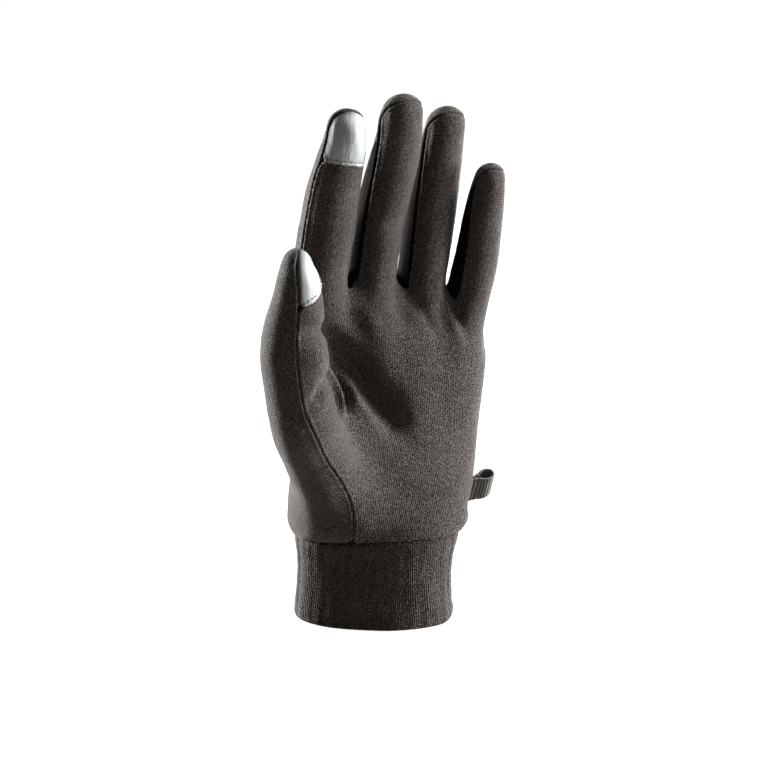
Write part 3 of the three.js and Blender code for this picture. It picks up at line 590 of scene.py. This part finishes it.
def strapPath():
    thick, fork, steps = webbing["thick"] / 2, webbing["fork"], webbing["steps"]
    half = webbing["gap"] / 2 + thick
    turn = webbing["reach"] - webbing["gap"] / 2 - webbing["thick"]
    spread = fork + (turn - fork) * webbing["spread"]
    going = bezier((0, -thick), (fork, -thick), (spread, -half), (turn, -half), steps)
    bend = np.linspace(-math.pi / 2, math.pi / 2, steps)
    turning = np.stack([turn + half * np.cos(bend), half * np.sin(bend)], axis=1)
    return np.concatenate([going, turning[1:], (going * (1, -1))[::-1][1:]])


path = strapPath()
lengths = np.concatenate([[0], np.cumsum(np.linalg.norm(np.diff(path, axis=0), axis=1))])
strapColumns = int(lengths[-1] / webbing["ribPitch"]) * webbing["columnsPerRib"]
bpy.ops.object.select_all(action="DESELECT")
bpy.ops.mesh.primitive_grid_add(x_subdivisions=strapColumns, y_subdivisions=webbing["rows"], size=2)
loop = bpy.context.object
loop.name = loop.data.name = "webbingLoop"
flatPoints = pointsOf(loop)
reached = (flatPoints[:, 0] + 1) / 2 * lengths[-1]
across = flatPoints[:, 1] * webbing["width"] / 2
run = np.stack([np.interp(reached, lengths, path[:, i]) for i in range(2)], axis=1)
across = across * (1 - webbing["pinch"] * np.clip(run[:, 0] / webbing["reach"], 0, 1))
rib = webbing["ribDepth"] * np.cos(2 * np.pi * reached / webbing["ribPitch"])
rib[np.abs(flatPoints[:, 1]) > webbing["selvedgeFrom"]] = webbing["selvedge"]
root, out, along, around = (np.array(webbing[key]) for key in ("root", "out", "along", "around"))
inSeam = np.clip(1 - run[:, 0] / webbing["fork"], 0, None)
outwards = run[:, 0] + (webbing["slope"] * across + webbing["clear"]) * inSeam
placed = root + outwards[:, None] * (out + along * webbing["rise"]) + across[:, None] * along
placed += (run[:, 1:] - webbing["forward"]) * around
movePoints(loop, placed * mm)
for polygon in loop.data.polygons:
    polygon.use_smooth = True
solid = loop.modifiers.new("webbing", "SOLIDIFY")
solid.thickness, solid.offset = (webbing["thick"] - 2 * webbing["ribDepth"]) * mm, 0
applyModifiers(loop)
ribs = np.concatenate([rib, rib]) * mm
movePoints(loop, pointsOf(loop) + normalsOf(loop) * ribs[:, None])
print("webbing loop made")


# materials
class Wires:
    # short words for adding and joining nodes in one tree
    def __init__(self, tree):
        self.tree = tree

    def add(self, kind, sockets=None, **settings):
        node = self.tree.nodes.new("ShaderNode" + kind)
        for key, value in settings.items():
            setattr(node, key, value)
        for key, value in (sockets or {}).items():
            self.feed(node.inputs[key], value)
        return node

    def feed(self, socket, value):
        if isinstance(value, bpy.types.NodeSocket):
            self.tree.links.new(value, socket)
        else:
            socket.default_value = value

    def math(self, operation, a, b=0.0, c=None):
        node = self.add("Math", operation=operation)
        self.feed(node.inputs[0], a)
        self.feed(node.inputs[1], b)
        if c is not None:
            self.feed(node.inputs[2], c)
        return node.outputs[0]

    def blendColours(self, share, a, b, how="MIX"):
        node = self.add("Mix", data_type="RGBA", blend_type=how)
        self.feed(node.inputs["Factor"], share)
        self.feed(node.inputs["A"], a)
        self.feed(node.inputs["B"], b)
        return node.outputs["Result"]

    def noise(self, place, scale, detail=2.0, roughness=0.5):
        sockets = {"Vector": place, "Scale": scale, "Detail": detail, "Roughness": roughness}
        return self.add("TexNoise", sockets).outputs["Fac"]

    def group(self, tree, **sockets):
        node = self.add("Group")
        node.node_tree = tree
        for key, value in sockets.items():
            self.feed(node.inputs[key], value)
        return node


def newGroup(name, inputs, outputs):
    tree = bpy.data.node_groups.new(name, "ShaderNodeTree")
    for label, (kind, value) in inputs.items():
        socket = tree.interface.new_socket(label, in_out="INPUT", socket_type="NodeSocket" + kind)
        if value is not None:
            socket.default_value = value
    for label in outputs:
        tree.interface.new_socket(label, in_out="OUTPUT", socket_type="NodeSocketFloat")
    return tree, Wires(tree), tree.nodes.new("NodeGroupInput"), tree.nodes.new("NodeGroupOutput")


def makeKnitStitches():
    # rows of small raised stitches on a map in metres, each column half a stitch above the last
    tree, w, start, end = newGroup(
        "knitStitches",
        {"Map": ("Vector", None), "Wales": ("Float", 750.0), "Courses": ("Float", 750.0),
         "Wander": ("Float", 0.3)},
        ("Height",))
    parts = w.add("SeparateXYZ", {"Vector": start.outputs["Map"]})
    drift = w.math("SUBTRACT", w.noise(start.outputs["Map"], 420.0, 1.0), 0.5)
    drift = w.math("MULTIPLY", drift, start.outputs["Wander"])
    column = w.math("ADD", w.math("MULTIPLY", parts.outputs["X"], start.outputs["Wales"]), drift)
    course = w.math("ADD", w.math("MULTIPLY", parts.outputs["Y"], start.outputs["Courses"]), drift)
    side = w.math("MULTIPLY", w.math("FLOOR", column), 0.5)
    across = w.math("SINE", w.math("MULTIPLY", w.math("FRACT", column), math.pi))
    upward = w.math("SINE", w.math("MULTIPLY", w.math("FRACT", w.math("ADD", course, side)), math.pi))
    across, upward = w.math("POWER", across, 0.8), w.math("POWER", upward, 0.8)
    w.feed(end.inputs["Height"], w.math("MULTIPLY", across, upward))
    return tree


def makeFibres():
    # speckle of single fibres, and the slow unevenness of dyed cloth
    tree, w, start, end = newGroup(
        "fibres", {"Place": ("Vector", None), "Fineness": ("Float", 1600.0), "Clouds": ("Float", 60.0)},
        ("Speckle", "Cloud"))
    w.feed(end.inputs["Speckle"], w.noise(start.outputs["Place"], start.outputs["Fineness"], 2.0, 0.6))
    w.feed(end.inputs["Cloud"], w.noise(start.outputs["Place"], start.outputs["Clouds"], 3.0, 0.5))
    return tree


knitStitches, fibres = makeKnitStitches(), makeFibres()


def newMaterial(name, **fixed):
    material = bpy.data.materials.new(name)
    material.use_nodes = True
    shader = material.node_tree.nodes["Principled BSDF"]
    for key, value in fixed.items():
        shader.inputs[key.replace("_", " ")].default_value = value
    return material, Wires(material.node_tree), shader


def makeKnit(name, finish):
    material, w, shader = newMaterial(
        name, Specular_IOR_Level=finish["specular"], Sheen_Weight=finish["sheen"],
        Sheen_Roughness=finish["fuzz"], Sheen_Tint=finish["sheenTint"])
    place = w.add("TexCoord")
    stitches = w.group(knitStitches, Map=place.outputs["UV"], Wales=finish["wales"],
                       Courses=finish["courses"])
    fibre = w.group(fibres, Place=place.outputs["Object"], Fineness=finish["fineness"],
                    Clouds=finish["clouds"])
    height = w.math("ADD", w.math("MULTIPLY", stitches.outputs["Height"], finish["stitchHeight"]),
                    w.math("MULTIPLY", fibre.outputs["Speckle"], finish["fibreHeight"]))
    # the colour follows stitch height and fibre speckle: darker between the stitches is painted shade, and
    # the speckle is the yarn's mottled grain
    low, high = finish["shades"]
    share = w.add("MapRange", {"Value": height, "From Min": low, "From Max": high})
    colour = w.blendColours(share.outputs["Result"], (*finish["dark"], 1), (*finish["light"], 1))
    clouds = w.add("MapRange", {"Value": fibre.outputs["Cloud"], "From Min": 0.3, "From Max": 0.7,
                                "To Min": 0.82, "To Max": 1.18})
    shade = w.add("CombineColor", {channel: clouds.outputs[0] for channel in ("Red", "Green", "Blue")})
    w.feed(shader.inputs["Base Color"], w.blendColours(1.0, colour, shade.outputs[0], "MULTIPLY"))
    rough = w.add("MapRange", {"Value": height, "To Min": 0.95, "To Max": 0.78})
    w.feed(shader.inputs["Roughness"], rough.outputs["Result"])
    bump = w.add("Bump", {"Strength": finish["bump"], "Distance": finish["relief"], "Height": height})
    w.feed(shader.inputs["Normal"], bump.outputs["Normal"])
    return material


knitFinish = {
    "wales": 1150.0, "courses": 950.0, "fineness": 1100.0, "clouds": 60.0,
    "stitchHeight": 0.42, "fibreHeight": 1.15, "shades": (0.55, 1.05), "bump": 1.0, "relief": 0.5 * mm,
    "dark": (0.0055, 0.0040, 0.0031), "light": (0.082, 0.073, 0.066), "specular": 0.15,
    "sheen": 0.24, "fuzz": 0.32, "sheenTint": (0.95, 0.9, 0.86, 1),
}
knit = makeKnit("charcoalKnit", knitFinish)
cuffKnit = makeKnit("cuffKnit", {**knitFinish, "light": (0.076, 0.066, 0.059)})
# painted shade: the fourchettes get a near-black knit with no sheen, standing for the shade between the
# fingers
paintedShadeGussetKnit = makeKnit("paintedShadeGussetKnit", {**knitFinish, "light": (0.009, 0.008, 0.007), "sheen": 0.0,
                                     "specular": 0.02})
fleece = makeKnit("brushedFleece", {**knitFinish, "light": (0.05, 0.045, 0.04), "sheen": 0.8, "bump": 0.6,
                                    "wales": 300.0, "courses": 200.0})


padFinish = {
    "wales": 2600.0, "fineness": 900.0, "clouds": 140.0,
    "creaseTurn": (0, 0, -0.35), "creaseStretch": (3.2, 1, 1), "creaseSize": 160.0, "creaseHeight": 3.0,
    "dark": (0.20, 0.218, 0.222, 1), "light": (0.30, 0.322, 0.327, 1), "raised": (0.36, 0.385, 0.39, 1),
    # painted shade: the near-black colour laid over the pad's turned-in left side
    "paintedShade": (0.012, 0.0125, 0.0125, 1),
}


def makePadCloth():
    # silver cloth, rougher and less metallic where its gathered side turns in, with its colour darkened there
    # as painted shade
    material, w, shader = newMaterial(
        "silverPadCloth", Specular_IOR_Level=0.3, Sheen_Weight=0.08, Sheen_Roughness=0.4)
    place = w.add("TexCoord")
    stitches = w.group(knitStitches, Map=place.outputs["UV"], Wales=padFinish["wales"],
                       Courses=padFinish["wales"])
    fibre = w.group(fibres, Place=place.outputs["UV"], Fineness=padFinish["fineness"],
                    Clouds=padFinish["clouds"])
    creases = w.add("Mapping", {"Vector": place.outputs["UV"], "Rotation": padFinish["creaseTurn"],
                                "Scale": padFinish["creaseStretch"]})
    crease = w.noise(creases.outputs[0], padFinish["creaseSize"], 3.0, 0.6)
    colour = w.blendColours(fibre.outputs["Speckle"], padFinish["dark"], padFinish["light"])
    # painted highlight: the pad colour is lighter on the raised threads of its weave
    raised = w.math("MULTIPLY", stitches.outputs["Height"], 0.35)
    colour = w.blendColours(raised, colour, padFinish["raised"])
    # painted shade: the mask blends the base colour to near-black and cuts the metallic
    paintedShade = w.math("MULTIPLY", w.add("Attribute", attribute_name="paintedShade").outputs["Fac"], 0.97)
    w.feed(shader.inputs["Base Color"], w.blendColours(paintedShade, colour, padFinish["paintedShade"]))
    metal = w.math("MULTIPLY", fibre.outputs["Cloud"], 0.25)
    w.feed(shader.inputs["Metallic"], w.math("MULTIPLY", metal, w.math("SUBTRACT", 1.0, paintedShade)))
    rough = w.math("MULTIPLY_ADD", fibre.outputs["Speckle"], 0.15, 0.45)
    w.feed(shader.inputs["Roughness"], w.math("MULTIPLY_ADD", paintedShade, 0.4, rough))
    height = w.math("ADD", w.math("MULTIPLY", crease, padFinish["creaseHeight"]),
                    w.math("MULTIPLY", stitches.outputs["Height"], 0.25))
    bump = w.add("Bump", {"Strength": 0.45, "Distance": 0.3 * mm, "Height": height})
    w.feed(shader.inputs["Normal"], bump.outputs["Normal"])
    return material


def fibreBump(w, shader, fibre):
    bump = w.add("Bump", {"Strength": 0.6, "Distance": 0.12 * mm, "Height": fibre.outputs["Speckle"]})
    w.feed(shader.inputs["Normal"], bump.outputs["Normal"])


def makeThread(name, dark, light, roughness):
    material, w, shader = newMaterial(name, Specular_IOR_Level=0.35, Sheen_Weight=0.3)
    place = w.add("TexCoord")
    fibre = w.group(fibres, Place=place.outputs["Object"], Fineness=2200.0, Clouds=300.0)
    w.feed(shader.inputs["Base Color"], w.blendColours(fibre.outputs["Speckle"], (*dark, 1), (*light, 1)))
    w.feed(shader.inputs["Roughness"], w.math("MULTIPLY_ADD", fibre.outputs["Cloud"], 0.2, roughness))
    fibreBump(w, shader, fibre)
    return material


def makeGrosgrain():
    # ribs across the strap on the strip's own map, coloured lighter on their backs as painted highlight and
    # darker between them as painted shade
    material, w, shader = newMaterial("grosgrain", Specular_IOR_Level=0.4, Sheen_Weight=0.25)
    place = w.add("TexCoord")
    parts = w.add("SeparateXYZ", {"Vector": place.outputs["UV"]})
    fibre = w.group(fibres, Place=place.outputs["Object"], Fineness=1500.0, Clouds=300.0)
    turns = 2 * math.pi * lengths[-1] / webbing["ribPitch"]
    # painted highlight and shade: this colour wave lies on the strap's raised ribs, lighter on their backs
    # and darker between them
    wave = w.math("COSINE", w.math("MULTIPLY", parts.outputs["X"], turns))
    share = w.math("MULTIPLY_ADD", wave, 0.38, w.math("MULTIPLY_ADD", fibre.outputs["Speckle"], 0.5, 0.2))
    dark, light = (0.008, 0.008, 0.008, 1), (0.22, 0.22, 0.21, 1)
    w.feed(shader.inputs["Base Color"], w.blendColours(share, dark, light))
    w.feed(shader.inputs["Roughness"], w.math("MULTIPLY_ADD", fibre.outputs["Cloud"], 0.2, 0.5))
    fibreBump(w, shader, fibre)
    return material


# sewing along a pad's lower edge: a row of dark stitches on the pad and a light zigzag over its edge
sewing = {
    "pitch": 2.05 * mm, "stitch": 1.0 * mm, "inset": 1.5 * mm, "thread": 0.24 * mm,
    "zigPitch": 1.3 * mm, "zigUp": 0.2 * mm, "zigDown": 0.45 * mm, "zigThread": 0.12 * mm,
    "lift": 0.06 * mm, "ends": 0.8 * mm, "step": 0.1 * mm, "edgeSteps": 80, "edgeDegree": 4,
}
sewnMesh = bmesh.new()
for piece in sheets.values():
    sewnMesh.from_mesh(piece.data)
sewnFaces = BVHTree.FromBMesh(sewnMesh)
sewnMesh.free()


def lowerEdge(name):
    # the edge as one smooth line, the length reached at each of its points, and the pad's middle
    dense = raiseWrist(padLowEdges[name])
    middle = dense.mean(axis=0)
    way = np.linalg.svd(dense - middle, full_matrices=False)[2][0]
    way = way * (1 if way[0] > 0 else -1)
    reach = (dense - middle) @ way
    fits = [np.polynomial.Polynomial.fit(reach, dense[:, i], sewing["edgeDegree"]) for i in range(3)]
    steps = np.linspace(reach.min(), reach.max(), sewing["edgeSteps"])
    line = np.stack([fit(steps) for fit in fits], axis=1)
    lengths = np.concatenate([[0], np.cumsum(np.linalg.norm(np.diff(line, axis=0), axis=1))])
    return line, lengths, pointsOf(sheets[name]).mean(axis=0)


def sewnPlace(edge, at, down):
    line, lengths, centre = edge
    place = np.array([np.interp(at, lengths, line[:, i]) for i in range(3)])
    ahead = np.array([np.interp(at + sewing["step"], lengths, line[:, i]) for i in range(3)])
    normal = np.array(sewnFaces.find_nearest(Vector(place))[1])
    below = np.cross(normal, ahead - place)
    below /= max(np.linalg.norm(below), 1e-9)
    if below @ (place - centre) < 0:
        below = -below
    found, normal, _, _ = sewnFaces.find_nearest(Vector(place + below * down))
    return found + normal * sewing["lift"]


def threads(name, paths, radius, material):
    curve = bpy.data.curves.new(name, "CURVE")
    curve.dimensions = "3D"
    curve.bevel_depth, curve.bevel_resolution, curve.use_fill_caps = radius, 1, True
    for path in paths:
        spline = curve.splines.new("POLY")
        spline.points.add(len(path) - 1)
        for point, place in zip(spline.points, path):
            point.co = (*place, 1)
    thing = bpy.data.objects.new(name, curve)
    bpy.context.collection.objects.link(thing)
    selectOnly(thing)
    bpy.ops.object.convert(target="MESH")
    for polygon in thing.data.polygons:
        polygon.use_smooth = True
    thing.data.materials.append(material)
    return thing


def sewPad(name):
    edge = lowerEdge(name)
    whole = edge[1][-1] - sewing["ends"]
    half = sewing["stitch"] / 2
    starts = np.arange(sewing["ends"] + half, whole - half, sewing["pitch"])
    stitches = [[sewnPlace(edge, at + step, -sewing["inset"]) for step in (-half, 0, half)] for at in starts]
    turns = np.arange(sewing["ends"] / 2, whole + sewing["ends"] / 2, sewing["zigPitch"] / 2)
    zigzag = [sewnPlace(edge, at, (-sewing["zigUp"], sewing["zigDown"])[i % 2]) for i, at in enumerate(turns)]
    return [threads(name + "Stitches", stitches, sewing["thread"], darkThread),
            threads(name + "Zigzag", [zigzag], sewing["zigThread"], lightThread)]


padCloth = makePadCloth()
webbingCloth = makeGrosgrain()
darkThread = makeThread("darkThread", (0.006, 0.006, 0.006), (0.03, 0.03, 0.028), 0.5)
lightThread = makeThread("lightThread", (0.28, 0.30, 0.30), (0.5, 0.52, 0.52), 0.5)
sewn = {name: sewPad(name) for name in padNames}
for things in sewn.values():
    for thing, slot in zip(things, ("knit", "touch_pad")):
        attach(thing, "root")
print("pads sewn")

for name, facts in panels.items():
    piece = sheets[name]
    solid = piece.modifiers.new("wall", "SOLIDIFY")
    solid.thickness, solid.offset = sheetCut["wall"], -1
    solid.material_offset, solid.material_offset_rim = 1, 0
    face = padCloth if facts["slot"] == "touch_pad" else paintedShadeGussetKnit if name.startswith("fourchette") else knit
    piece.data.materials.append(face)
    piece.data.materials.append(fleece)
    applyModifiers(piece)
    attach(piece, "root")
    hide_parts(facts["node"])
for piece, node, material, slot, facts in (
    (cuff, "cuff_band", cuffKnit, "cuff", {"flat": (0.190, 0.076), "held": "folded"}),
    (loop, "webbing_loop", webbingCloth, "webbing", {"flat": (0.013, 0.027), "held": "folded"}),
):
    piece.data.materials.append(material)
    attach(piece, "root")
    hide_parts(node)
print("materials given")


# floor and light
ground = {"radius": 60, "sides": 96, "below": 0.4 * mm, "colour": (0.22, 0.19, 0.165, 1)}
bpy.ops.object.select_all(action="DESELECT")
bpy.ops.mesh.primitive_circle_add(vertices=ground["sides"], radius=ground["radius"], fill_type="NGON",
                                  location=(0, 0, -ground["below"]))
floor = bpy.context.object
floor.name = "floor"
bpy.ops.object.transform_apply(location=True)
floorPaint, w, shader = newMaterial("paleFloor", Roughness=0.9, Base_Color=ground["colour"],
                                    Emission_Color=(1, 1, 1, 1))
w.feed(shader.inputs["Emission Strength"], w.add("LightPath").outputs["Is Camera Ray"])
floor.data.materials.append(floorPaint)

aim = Vector((0, 0, 120 * mm))
studio = {
    "keyRight": {"at": (1.02, -0.30, 1.12), "size": 0.45, "power": 34},
    "fillRight": {"at": (1.30, -0.52, 0.15), "size": 0.5, "power": 66},
    "rimLeft": {"at": (-0.68, 1.08, 0.30), "size": 0.3, "power": 88},
    "rimRight": {"at": (1.20, 0.70, 0.30), "size": 0.6, "power": 35},
    "softFront": {"at": (0.55, -1.20, 0.35), "size": 0.8, "power": 3},
    "softTop": {"at": (-0.1, 0.2, 1.4), "size": 1.0, "power": 6},
}
for name, lamp in studio.items():
    bpy.ops.object.light_add(type="AREA", location=lamp["at"])
    light = bpy.context.object
    light.name = name
    light.data.energy, light.data.size = lamp["power"], lamp["size"]
    light.rotation_euler = (aim - light.location).to_track_quat("-Z", "Y").to_euler()
world = bpy.data.worlds.new("studio")
bpy.context.scene.world = world
world.use_nodes = True
w = Wires(world.node_tree)
backdrop = world.node_tree.nodes["Background"]
seen = w.add("LightPath").outputs["Is Camera Ray"]
w.feed(backdrop.inputs["Color"], w.blendColours(seen, (1, 0.8, 0.66, 1), (1, 1, 1, 1)))
w.feed(backdrop.inputs["Strength"], w.math("MULTIPLY_ADD", seen, 0.965, 0.035))
bpy.context.scene.view_settings.view_transform = "Standard"
print("floor and light set")
